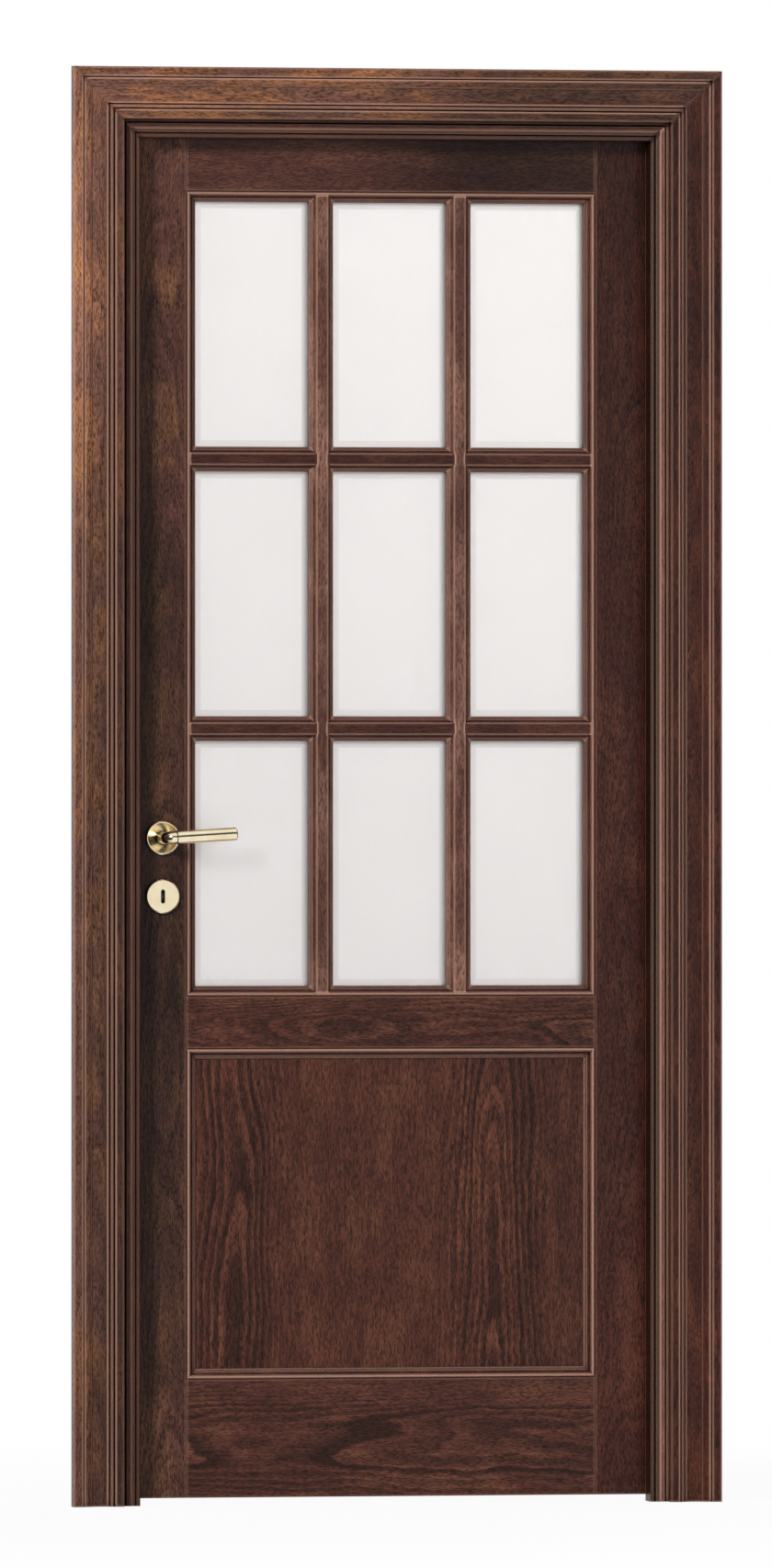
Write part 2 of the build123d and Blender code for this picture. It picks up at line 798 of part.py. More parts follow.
with BuildPart() as lock_bolts:
    for z, height in bolt_places:
        block(*bolt_room(z, height, 0, leaf_lock_x, leaf_lock_x + bolt_length))
save(lock_bolts, "lock_bolts")


def round_cover(height, face_y, outwards, bore_radius, sunk):
    """A turned cover at a height above the floor, with a bevelled rim and a face sunk towards its middle."""
    rim_inner = cover_radius - cover_rim_bevel - cover_rim_land
    centre = (spindle_x, face_y, height)
    across = Vector(1, 0, 0)
    with BuildPart() as cover:
        with BuildSketch(Plane(origin=centre, x_dir=across, z_dir=across.cross(Vector(*outwards)))):
            with BuildLine():
                Polyline(
                    (bore_radius, 0),
                    (cover_radius, 0),
                    (cover_radius, cover_thickness - cover_rim_bevel),
                    (cover_radius - cover_rim_bevel, cover_thickness),
                    (rim_inner, cover_thickness),
                    (bore_radius, cover_thickness - sunk),
                    close=True,
                )
            make_face()
        revolve(axis=Axis(centre, outwards))
    return cover.part


# Roses round the levers and covers over the keyholes
for side, face_y, outwards in leaf_sides:
    with BuildPart() as rose:
        add(round_cover(spindle_height, face_y, outwards, neck_radius + bearing_gap, rose_dish))
    save(rose, f"rose_{side}")
    with BuildPart() as escutcheon:
        add(round_cover(keyhole_height, face_y, outwards, 0, 0))
        keyhole(face_y, outwards, cover_thickness)
    save(escutcheon, f"escutcheon_{side}")

# Levers: a swept neck and elbow, a turned grip behind a groove, and a square hole for the spindle
rise = radians(lever_rise)
along = Vector(cos(rise), 0, sin(rise))
groove_radius = lever_projection + neck_radius - ring_depth
grip_start = ring_distance + ring_width
grip_edge = lever_projection + grip_radius
hole_side = spindle_side + 2 * spindle_play

for side, face_y, outwards in leaf_sides:
    foot = (spindle_x, face_y, spindle_height)
    plane = Plane(origin=foot, x_dir=along, z_dir=along.cross(Vector(*outwards)))
    with BuildPart() as lever:
        with BuildLine(plane):
            FilletPolyline(
                (0, neck_start), (0, lever_projection), (ring_distance, lever_projection), radius=elbow_radius
            )
        with BuildSketch(Plane(origin=plane.from_local_coords((0, neck_start, 0)), z_dir=outwards)):
            Circle(neck_radius)
        sweep()
        with BuildSketch(plane):
            with BuildLine():
                Polyline(
                    (ring_distance, lever_projection),
                    (ring_distance, groove_radius),
                    (grip_start, groove_radius),
                    (grip_start, grip_edge - grip_shoulder),
                    (grip_start + grip_shoulder, grip_edge),
                    (lever_reach - tip_bevel, grip_edge),
                    (lever_reach, grip_edge - tip_bevel),
                    (lever_reach, lever_projection),
                    close=True,
                )
            make_face()
        revolve(axis=Axis(plane.from_local_coords((0, lever_projection, 0)), along))
        with BuildSketch(Plane(origin=foot, x_dir=(1, 0, 0), z_dir=outwards)):
            Rectangle(hole_side, hole_side)
        extrude(amount=neck_start + spindle_depth, mode=Mode.SUBTRACT)
    save(lever, f"lever_{side}")

with BuildPart() as spindle:
    spindle_reach = neck_start + spindle_depth
    block(
        (spindle_x - spindle_side / 2, leaf_front_y - spindle_reach, spindle_height - spindle_side / 2),
        (spindle_x + spindle_side / 2, back_y + spindle_reach, spindle_height + spindle_side / 2),
    )
save(spindle, "spindle")
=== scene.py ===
# %% [markdown]
# # A glazed oak door in its frame
#
# The solids of this door come from a CAD model, and this lesson dresses them: wood under a dark stain,
# satin glass, polished brass and a rubber seal, then screws, light, floor and camera. Everything is in
# metres, in the same frame as the CAD model: the origin is at the foot of the hinge jamb, +Y is the
# side that the leaf opens to and +Z is up.

import bpy
import numpy as np
from math import radians
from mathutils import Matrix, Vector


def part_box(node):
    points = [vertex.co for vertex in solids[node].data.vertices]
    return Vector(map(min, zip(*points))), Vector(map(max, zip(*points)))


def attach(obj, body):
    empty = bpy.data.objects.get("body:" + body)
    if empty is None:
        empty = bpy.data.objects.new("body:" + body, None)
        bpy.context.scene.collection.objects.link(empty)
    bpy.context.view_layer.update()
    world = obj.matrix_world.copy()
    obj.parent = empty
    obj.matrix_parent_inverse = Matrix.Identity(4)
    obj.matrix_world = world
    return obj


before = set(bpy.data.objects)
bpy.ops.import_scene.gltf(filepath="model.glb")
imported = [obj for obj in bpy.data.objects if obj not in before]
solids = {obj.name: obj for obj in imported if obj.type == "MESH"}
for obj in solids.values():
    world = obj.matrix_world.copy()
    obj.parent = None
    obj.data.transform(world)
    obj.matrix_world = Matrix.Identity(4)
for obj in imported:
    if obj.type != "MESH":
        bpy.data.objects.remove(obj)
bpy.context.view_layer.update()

# %% [markdown]
# ## Colours and nodes
#
# A colour picker gives sRGB values, which are spaced for the eye, but a shader adds up light and needs
# linear ones. One function turns a hex colour into linear light, so that every colour below can be
# written the way a painter would read it off a card.

# %% Turn a hex colour into linear light


def light_of(hex_colour):
    """Each channel c becomes c / 12.92 below 0.04045, and ((c + 0.055) / 1.055) to the 2.4 above it."""
    channels = np.array([int(hex_colour[i:i + 2], 16) for i in (1, 3, 5)]) / 255
    linear = np.where(channels <= 0.04045, channels / 12.92, ((channels + 0.055) / 1.055) ** 2.4)
    return (*linear.tolist(), 1.0)


print("mid brown in linear light:", [round(v, 3) for v in light_of("#4e3029")])

# %% [markdown]
# A shader is a small machine of nodes. It can be wired by hand in the editor, or in code with a single
# helper: it adds one node, sets its properties, and puts either a value or a wire into each input.
# Inputs are reached by name. Math nodes have several of the same name, so theirs are reached by
# number, and so are those of the Mix node, whose numbers get names here.

# %% Add one node
share, first_number, second_number, mixed_number = 0, 2, 3, 0
first_colour, second_colour, mixed_colour = 6, 7, 2


def add_node(tree, kind, settings={}, inputs={}):
    """Adds a node of one kind with its properties, and fills each input with a value or a link."""
    node = tree.nodes.new("ShaderNode" + kind)
    for name, value in settings.items():
        setattr(node, name, value)
    for name, value in inputs.items():
        if isinstance(value, bpy.types.NodeSocket):
            tree.links.new(value, node.inputs[name])
        else:
            node.inputs[name].default_value = value
    return node


def new_material(name):
    """An empty material, ready for its nodes."""
    material = bpy.data.materials.new(name)
    material.use_nodes = True
    material.node_tree.nodes.clear()
    return material


# %% [markdown]
# ## Stained oak
#
# The door is oak, stained walnut brown and sealed with a satin varnish. A board is a slice out of a
# log, so its figure can be worked out from the log: the growth rings are cones round the heart, and a
# flat slice near the heart shows them as tall arches, while a slice far from it shows straight lines.
# A picture of wood would repeat and stretch. A log in the shader never does, and each board can be
# cut from its own place in it.
#
# Real rings are 2 to 4 mm apart and the pores in them are 0.2 mm wide. Both are drawn larger here, the
# pores about 1.4 mm wide, because finer ones would blur into a flat colour at this distance.

# %% Sizes of the oak's figure, in metres
ring_spacing = 0.0048
ring_taper = 0.045
wander_depth = 0.055
waver_depth = 0.0080
pore_depth = 0.0004
whole_log = 9.0
print("a ring every", ring_spacing * 1000, "mm, on a cone of", ring_taper * 1000, "mm to the metre")

# %% [markdown]
# All patterns in wood are drawn out along the grain. So each one below is the same noise, squeezed
# across the grain. The pairs say how many waves go into a metre across the grain and along it.

# %% Draw a noise out along the grain
wander_waves = (9.0, 2.6)
waver_waves = (36.0, 13.0)
cloud_waves = (7.0, 3.0)
blotch_waves = (26.0, 8.0)
fibre_waves = (340.0, 30.0)
pore_waves = (700.0, 130.0)


def drawn_noise(tree, log, waves, detail, roughness=0.5):
    """Noise at the log's x and y times the waves across the grain, and its z times those along it."""
    across, along = waves
    squeezed = add_node(tree, "Mapping", {}, {"Vector": log, "Scale": (across, across, along)})
    return add_node(tree, "TexNoise", {}, {
        "Vector": squeezed.outputs["Vector"], "Scale": 1.0, "Detail": detail, "Roughness": roughness})


print("pores about", " by ".join(str(round(1000 / waves, 1)) for waves in pore_waves), "mm")

# %% [markdown]
# A shader knows where a point of the piece is, in metres. The first step turns that into a place in
# the log, with z along the grain and the heart at x = y = 0. A wide panel is glued up from several
# boards, so at each joint x starts again, and z jumps to another stretch of the log.

# %% Find the place in the log
board_jump = 1.7


def place_in_log(tree, place, grain, heart, along, board_width):
    """The object's coordinates, turned so that z is the grain, less the heart, plus a start along z.

    x is wrapped to the width of one board, and z grows by 1.7 times what the wrapping took off x.
    """
    turn = (0, 0, 0) if grain == "upright" else (0, radians(90), 0)
    board = add_node(tree, "Mapping", {}, {
        "Vector": place.outputs["Object"], "Rotation": turn, "Location": (-heart[0], -heart[1], along)})
    axes = add_node(tree, "SeparateXYZ", {}, {"Vector": board.outputs["Vector"]})
    wrapped = add_node(tree, "Math", {"operation": "WRAP"}, {
        0: axes.outputs["X"], 1: board_width / 2, 2: -board_width / 2})
    taken_off = add_node(tree, "Math", {"operation": "SUBTRACT"}, {
        0: axes.outputs["X"], 1: wrapped.outputs["Value"]})
    further = add_node(tree, "Math", {"operation": "MULTIPLY_ADD"}, {
        0: taken_off.outputs["Value"], 1: board_jump, 2: axes.outputs["Z"]})
    log = add_node(tree, "CombineXYZ", {}, {
        "X": wrapped.outputs["Value"], "Y": axes.outputs["Y"], "Z": further.outputs["Value"]})
    return log.outputs["Vector"]


# %% [markdown]
# The rings come next. The distance from the heart, made uneven, says in which year the wood grew, and
# the fraction of that number says in which season. The open pores of spring start sharply and thin
# out towards summer. No two years are alike, so each ring has its own strength. Far to the side of
# the heart the rings stand on edge and lie so close that they are drawn fainter.

# %% Work out the growth rings


def spring_wood(tree, log, spacing):
    """How much a point is dark spring wood, from 0 to 1.

    The ring number is the distance from the heart, made to wander slowly and waver quickly, plus a
    taper along the grain, all divided by the ring spacing. Its fraction is the place inside one ring,
    and its whole part picks how dark that year's ring is.
    """
    wander = drawn_noise(tree, log, wander_waves, 1.0)
    shift = add_node(tree, "VectorMath", {"operation": "MULTIPLY_ADD"}, {
        0: wander.outputs["Color"], 1: (wander_depth, wander_depth, 0.0), 2: log})
    moved = add_node(tree, "VectorMath", {"operation": "SUBTRACT"}, {
        0: shift.outputs["Vector"], 1: (wander_depth / 2, wander_depth / 2, 0.0)})
    axes = add_node(tree, "SeparateXYZ", {}, {"Vector": moved.outputs["Vector"]})
    flat = add_node(tree, "CombineXYZ", {}, {"X": axes.outputs["X"], "Y": axes.outputs["Y"]})
    radius = add_node(tree, "VectorMath", {"operation": "LENGTH"}, {0: flat.outputs["Vector"]})
    tapered = add_node(tree, "Math", {"operation": "MULTIPLY_ADD"}, {
        0: axes.outputs["Z"], 1: ring_taper, 2: radius.outputs["Value"]})
    waver = drawn_noise(tree, log, waver_waves, 2.0)
    wavered = add_node(tree, "Math", {"operation": "MULTIPLY_ADD"}, {
        0: waver.outputs["Fac"], 1: waver_depth, 2: tapered.outputs["Value"]})
    rings = add_node(tree, "Math", {"operation": "DIVIDE"}, {0: wavered.outputs["Value"], 1: spacing})

    year = add_node(tree, "Math", {"operation": "FLOOR"}, {0: rings.outputs["Value"]})
    growth = add_node(tree, "TexWhiteNoise", {"noise_dimensions": "1D"}, {"W": year.outputs["Value"]})
    strength = add_node(tree, "MapRange", {}, {
        "Value": growth.outputs["Value"], "To Min": 0.45, "To Max": 1.0})
    season = add_node(tree, "Math", {"operation": "FRACT"}, {0: rings.outputs["Value"]})
    rise = add_node(tree, "MapRange", {"interpolation_type": "SMOOTHSTEP"}, {
        "Value": season.outputs["Value"], "From Min": 0.0, "From Max": 0.14})
    fall = add_node(tree, "MapRange", {"interpolation_type": "SMOOTHSTEP"}, {
        "Value": season.outputs["Value"], "From Min": 0.35, "From Max": 0.95, "To Min": 1.0,
        "To Max": 0.0})
    band = add_node(tree, "Math", {"operation": "MULTIPLY"}, {
        0: rise.outputs["Result"], 1: fall.outputs["Result"]})
    sideways = add_node(tree, "Math", {"operation": "ABSOLUTE"}, {0: axes.outputs["X"]})
    flatness = add_node(tree, "MapRange", {"interpolation_type": "SMOOTHSTEP"}, {
        "Value": sideways.outputs["Value"], "From Min": 0.035, "From Max": 0.10,
        "To Min": 1.0, "To Max": 0.18})
    shown = add_node(tree, "Math", {"operation": "MULTIPLY"}, {
        0: strength.outputs["Result"], 1: flatness.outputs["Result"]})
    spring = add_node(tree, "Math", {"operation": "MULTIPLY"}, {
        0: band.outputs["Value"], 1: shown.outputs["Value"]})
    return spring.outputs["Value"]


# %% [markdown]
# The stain is what the eye reads first. It sinks deep into the open pores of the spring wood, which
# turn nearly black, and stays thinner on the hard summer wood, which keeps a warm glow. Three tones
# are enough for that: the ground, the shade in the pores and the glow between them. Fine fibres vary
# the whole a little, as silky wood does.

# %% Colour the grain


def grain_colour(tree, log, spring, tones, figure):
    """The colour of the grain, and how much of each point is an open pore.

    Blotches go from the ground to the glow. The rings go from there to the shade by the spring wood
    times the figure. The pores go on to the shade, less so in summer wood, and the fibres multiply it
    all by 0.66 to 1.34.
    """
    ground, shade, glow = (light_of(tone) for tone in tones)
    blotch = drawn_noise(tree, log, blotch_waves, 3.0, 0.55)
    warmth = add_node(tree, "MapRange", {"interpolation_type": "SMOOTHSTEP"}, {
        "Value": blotch.outputs["Fac"], "From Min": 0.42, "From Max": 0.66})
    body = add_node(tree, "Mix", {"data_type": "RGBA"}, {
        share: warmth.outputs["Result"], first_colour: ground, second_colour: glow})
    ring_share = add_node(tree, "Math", {"operation": "MULTIPLY"}, {0: spring, 1: figure})
    ringed = add_node(tree, "Mix", {"data_type": "RGBA"}, {
        share: ring_share.outputs["Value"], first_colour: body.outputs[mixed_colour],
        second_colour: shade})

    pore_noise = drawn_noise(tree, log, pore_waves, 1.0)
    pores = add_node(tree, "MapRange", {"interpolation_type": "SMOOTHSTEP"}, {
        "Value": pore_noise.outputs["Fac"], "From Min": 0.44, "From Max": 0.62})
    openness = add_node(tree, "MapRange", {}, {"Value": spring, "To Min": 0.62, "To Max": 0.95})
    pore_share = add_node(tree, "Math", {"operation": "MULTIPLY"}, {
        0: pores.outputs["Result"], 1: openness.outputs["Result"]})
    pored = add_node(tree, "Mix", {"data_type": "RGBA"}, {
        share: pore_share.outputs["Value"], first_colour: ringed.outputs[mixed_colour],
        second_colour: shade})

    fibres = drawn_noise(tree, log, fibre_waves, 3.0, 0.6)
    silk = add_node(tree, "MapRange", {}, {
        "Value": fibres.outputs["Fac"], "From Min": 0.25, "From Max": 0.75, "To Min": 0.66,
        "To Max": 1.34})
    fibred = add_node(tree, "VectorMath", {"operation": "SCALE"}, {
        0: pored.outputs[mixed_colour], "Scale": silk.outputs["Result"]})
    return fibred.outputs["Vector"], pore_share.outputs["Value"]


# %% [markdown]
# No board takes the stain evenly. It comes out cloudy over a hand's breadth. A drift also makes a
# piece lighter or darker towards one end or edge, and on two pieces that drift is painted shade.

# %% Cloud the stain and let the tone drift


def clouded_and_drifted(tree, place, log, colour, cloudy, drift):
    """The colour times a cloud of 1 less to 1 plus cloudy, and times each drift's factor.

    A drift (axis, start, end, factor) goes smoothly from 1 at the start to the factor at the end,
    along one of the object's axes.
    """
    cloud = drawn_noise(tree, log, cloud_waves, 3.0)
    soaked = add_node(tree, "MapRange", {}, {
        "Value": cloud.outputs["Fac"], "From Min": 0.35, "From Max": 0.65,
        "To Min": 1 - cloudy, "To Max": 1 + cloudy})
    taken = soaked.outputs["Result"]
    axes = add_node(tree, "SeparateXYZ", {}, {"Vector": place.outputs["Object"]})
    for axis, start, end, factor in drift:
        drifted = add_node(tree, "MapRange", {"interpolation_type": "SMOOTHSTEP"}, {
            "Value": axes.outputs[axis], "From Min": start, "From Max": end, "To Min": 1.0,
            "To Max": factor})
        both = add_node(tree, "Math", {"operation": "MULTIPLY"}, {
            0: taken, 1: drifted.outputs["Result"]})
        taken = both.outputs["Value"]
    clouded = add_node(tree, "VectorMath", {"operation": "SCALE"}, {0: colour, "Scale": taken})
    return clouded.outputs["Vector"]


# %% [markdown]
# On the sharp arrises and beads the stain is rubbed thin and the varnish catches a highlight, so
# they are painted lighter: partly wear, partly a painted highlight. The Ambient Occlusion node can
# find them, because its rays can also look into the wood: under a flat face they meet only wood, but
# under an arris many come out on the other side. They also come out where a board ends against its
# neighbour, in a mitre or at a crossing. There the two are flush, with no arris to wear or to catch a
# highlight, so each such seam is given as a plane, and the lightening stops 3 mm before it.

# %% Lighten the arrises: worn stain and a painted highlight
arris_reach = 0.0038
seam_start, seam_end = 0.0025, 0.0045
# The light colour of the arrises: worn stain and a painted highlight of the varnish.
rubbed_oak_and_highlight = light_of("#c69884")


def arris_wear_and_highlight(tree, place, colour, wear_and_highlight, seams):
    """The colour, lightened by the wear where the wood is thinner than the reach.

    The lighter colour stands for worn stain and a painted highlight. A seam (across, up, offset) is a
    plane, and its distance is the absolute value of across * x + up * z - offset. Up to the seam's
    start only 0.12 of the wear is left.
    """
    thickness = add_node(tree, "AmbientOcclusion", {"samples": 6, "inside": True, "only_local": True}, {
        "Distance": arris_reach})
    arris = add_node(tree, "MapRange", {}, {
        "Value": thickness.outputs["AO"], "From Min": 0.94, "From Max": 0.52, "To Min": 0.0,
        "To Max": wear_and_highlight})
    wear_and_highlight_share = arris.outputs["Result"]
    for across, up, offset in seams:
        level = add_node(tree, "VectorMath", {"operation": "DOT_PRODUCT"}, {
            0: place.outputs["Object"], 1: (across, 0.0, up)})
        side = add_node(tree, "Math", {"operation": "SUBTRACT"}, {0: level.outputs["Value"], 1: offset})
        distance = add_node(tree, "Math", {"operation": "ABSOLUTE"}, {0: side.outputs["Value"]})
        clear = add_node(tree, "MapRange", {"interpolation_type": "SMOOTHSTEP"}, {
            "Value": distance.outputs["Value"], "From Min": seam_start, "From Max": seam_end,
            "To Min": 0.12})
        both = add_node(tree, "Math", {"operation": "MULTIPLY"}, {0: wear_and_highlight_share, 1: clear.outputs["Result"]})
        wear_and_highlight_share = both.outputs["Value"]
    # Painted highlight as well as worn stain: the arrises are mixed towards the light colour.
    arris_lightened = add_node(tree, "Mix", {"data_type": "RGBA"}, {
        share: wear_and_highlight_share, first_colour: colour, second_colour: rubbed_oak_and_highlight})
    return arris_lightened.outputs[mixed_colour]


# %% [markdown]
# These steps are joined into one material. In the quirks and hollows the colour is darkened towards
# near black as painted shade, and here the occlusion rays look out of the wood, to find narrow
# hollows. The Bevel node only eases the normals at the arrises, as a sander would. The varnish is a
# low gloss with a faint clear coat, duller over the pores, which stay open under it. Bores and slots
# were cut after varnishing, so deep inside them the wood is bare, and a plain diffuse shader takes
# over.

# %% Cut a board of stained oak out of its log
eased_radius = 0.0014
hollow_shade_reach = 0.010
# The near black of the painted shade in quirks and hollows.
hollow_shade_colour = light_of("#140907")


def stained_oak(name, heart, tones, along, grain="upright", figure=0.55, wear_and_highlight=0.85, cloudy=0.18,
                spacing=ring_spacing, board_width=whole_log, seams=(), drift=()):
    """A board with its grain upright or level, cut at a place from the heart of its log.

    Figure is how strongly the rings show, wear how far the thinnest edges are lightened, as worn
    stain and a painted highlight, and cloudy how unevenly the stain took.
    """
    material = new_material(name)
    tree = material.node_tree
    place = add_node(tree, "TexCoord")
    log = place_in_log(tree, place, grain, heart, along, board_width)
    spring = spring_wood(tree, log, spacing)
    grained, pore_share = grain_colour(tree, log, spring, tones, figure)
    stained = clouded_and_drifted(tree, place, log, grained, cloudy, drift)
    arris_lightened = arris_wear_and_highlight(tree, place, stained, wear_and_highlight, seams)

    # Painted shade: the colour is darkened towards near black where the occlusion finds a hollow.
    hollow = add_node(tree, "AmbientOcclusion", {"samples": 6}, {"Distance": hollow_shade_reach})
    hollow_shade = add_node(tree, "MapRange", {}, {
        "Value": hollow.outputs["AO"], "From Min": 0.25, "From Max": 0.85, "To Min": 0.92,
        "To Max": 0.0})
    colour = add_node(tree, "Mix", {"data_type": "RGBA"}, {
        share: hollow_shade.outputs["Result"], first_colour: arris_lightened, second_colour: hollow_shade_colour})

    eased = add_node(tree, "Bevel", {"samples": 4}, {"Radius": eased_radius})
    grooves = add_node(tree, "Bump", {"invert": True}, {
        "Height": pore_share, "Strength": 0.5, "Distance": pore_depth,
        "Normal": eased.outputs["Normal"]})
    satin = add_node(tree, "MapRange", {}, {"Value": pore_share, "To Min": 0.26, "To Max": 0.45})
    varnished = add_node(tree, "BsdfPrincipled", {}, {
        "Base Color": colour.outputs[mixed_colour], "Roughness": satin.outputs["Result"],
        "Normal": grooves.outputs["Normal"], "Specular IOR Level": 0.15,
        "Coat Weight": 0.04, "Coat Roughness": 0.15})
    bare = add_node(tree, "BsdfDiffuse", {}, {"Color": colour.outputs[mixed_colour]})
    bored = add_node(tree, "MapRange", {}, {
        "Value": hollow.outputs["AO"], "From Min": 0.32, "From Max": 0.52, "To Min": 1.0,
        "To Max": 0.0})
    surface = add_node(tree, "MixShader", {}, {
        0: bored.outputs["Result"], 1: varnished.outputs["BSDF"], 2: bare.outputs["BSDF"]})
    add_node(tree, "OutputMaterial", {}, {"Surface": surface.outputs["Shader"]})
    return material


# %% [markdown]
# ## Which board is cut where
#
# The pieces were not cut from one board, and the stain took differently on each: the casing on the
# lock side and over the head came out warm, the leaf cooler and darker. So each gets three tones of
# its own, in the order ground, shade and glow.

# %% Name the tones of the stain
warm = ("#926353", "#452920", "#b97c54")
warm_head = ("#7c5547", "#3a2219", "#a26b47")
cool = ("#492a22", "#200f0b", "#5c3628")
casing_tones = ("#49231a", "#1e0b07", "#5d3120")
top_rail_tones = ("#513029", "#22110d", "#603c31")
stop_tones = ("#341b15", "#180a07", "#442619")
leaf_tones = ("#4a2821", "#1f0e0b", "#5b362a")
stile_tones = ("#4e261e", "#1e0c09", "#5c3225")
lock_stile_tones = ("#694238", "#26130f", "#84583f")
rail_tones = ("#552f26", "#200f0a", "#6b4031")
# Painted shade: the stop beside the hinges is stained near black, for the shade in its reveal.
painted_shade_reveal_tones = ("#24120d", "#120705", "#301a12")
# Painted highlight: the jamb on the hinge side is made lighter, for the highlights on its arrises that
# face the lamp.
painted_highlight_jamb_tones = ("#6a4338", "#2c1812", "#825546")
panel_tones = ("#542d22", "#1b0b08", "#643a2a")
bar_tones = ("#644035", "#2a1712", "#876052")
back_tones = ("#503024", "#24120d", "#683f2b")
print("ground of the leaf in linear light:", [round(v, 3) for v in light_of(leaf_tones[0])])

# %% [markdown]
# The seams are measured on the solids. A head piece meets its neighbours in two planes at 45 degrees
# through its top corners, and the cross bars meet the flats of the upright bars.

# %% Find the planes of the seams
half_turn = 0.5 ** 0.5
bar_half_flat = 0.008


def mitres(head_piece):
    """The two planes at 45 degrees through the top corners of a head piece, as (across, up, offset)."""
    low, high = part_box(head_piece)
    return [(half_turn, half_turn, half_turn * (low.x + high.z)),
            (half_turn, -half_turn, half_turn * (high.x - high.z))]


front_mitres = mitres("architrave_front_head")
back_mitres = mitres("architrave_back_head")
stop_mitres = mitres("stop_head")
upright_planes = []
for bar in ("bar_upright_lock_side", "bar_upright_hinge_side"):
    low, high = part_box(bar)
    middle = (low.x + high.x) / 2
    upright_planes += [(1.0, 0.0, middle - bar_half_flat), (1.0, 0.0, middle + bar_half_flat)]
print("seams beside the upright bars at x =", [round(offset, 4) for _, _, offset in upright_planes])

# %% [markdown]
# Each piece below gets the place of the heart behind it, its tones and a start along the log. A heart
# right behind a piece gives arches, and one far to the side gives straight grain. The figure says how
# strongly the rings show, the wear how far the arrises are lightened, as worn stain and a painted
# highlight, and the drifts where a piece is lighter or darker; on the inner half of the lock-side
# casing and towards the hinge side of the top rail that is painted shade. A piece whose grain is
# level has its heart given as a height and a depth.

# %% Choose the boards of the frame
frame_boards = {
    "architrave_front_lock_side": dict(
        heart=(-0.922, 0.030), tones=warm, along=0.3, figure=0.35, seams=front_mitres[:1],
        # Along Z it grows darker towards the bottom; along X its inner half is darker, as painted shade
        # of the slopes there that turn from the lamp.
        drift=[("Z", 1.80, 1.42, 0.52), ("X", -0.928, -0.884, 0.40)]),
    "architrave_front_hinge_side": dict(
        heart=(0.036, 0.045), tones=casing_tones, along=1.9, figure=0.35, seams=front_mitres[1:],
        drift=[("Z", 1.45, 1.80, 0.72), ("X", 0.012, -0.010, 0.72)]),
    "architrave_front_head": dict(
        grain="level", heart=(2.180, 0.040), tones=warm_head, along=0.7, figure=0.35,
        seams=front_mitres, drift=[("X", -0.52, -0.20, 0.48), ("Z", 2.150, 2.143, 0.72)]),
    "architrave_back_lock_side": dict(
        heart=(-0.895, -0.040), tones=back_tones, along=3.1, seams=back_mitres[:1]),
    "architrave_back_hinge_side": dict(
        heart=(0.020, -0.035), tones=back_tones, along=4.4, seams=back_mitres[1:]),
    "architrave_back_head": dict(
        grain="level", heart=(2.165, -0.035), tones=back_tones, along=2.6, seams=back_mitres),
    "jamb_lock_side": dict(heart=(-0.700, 0.060), tones=cool, along=5.2, wear_and_highlight=0.15),
    # Its lighter tones and full wear are a painted highlight on the arrises that face the lamp.
    "jamb_hinge_side": dict(heart=(-0.220, 0.030), tones=painted_highlight_jamb_tones, along=6.1, wear_and_highlight=1.0),
    "jamb_head": dict(
        grain="level", heart=(2.300, 0.050), tones=cool, along=5.7, wear_and_highlight=0.25,
        drift=[("X", -0.50, -0.20, 0.65)]),
    "stop_lock_side": dict(
        heart=(-1.000, 0.020), tones=stop_tones, along=7.3, wear_and_highlight=0.4, seams=stop_mitres[:1]),
    # Its near-black tones are painted shade, for the shade in the reveal beside the hinges.
    "stop_hinge_side": dict(
        heart=(-0.140, 0.010), tones=painted_shade_reveal_tones, along=8.2, wear_and_highlight=0.6, seams=stop_mitres[1:]),
    "stop_head": dict(
        grain="level", heart=(2.240, 0.020), tones=stop_tones, along=7.9, wear_and_highlight=0.5,
        seams=stop_mitres, drift=[("X", -0.50, -0.20, 0.65)]),
}
print("boards of the frame:", len(frame_boards))

# %% [markdown]
# The leaf was framed from quieter boards than the panel, which shows the finest arches. The panel is
# glued up from boards 0.42 m wide, with its rings spaced wider than anywhere else.

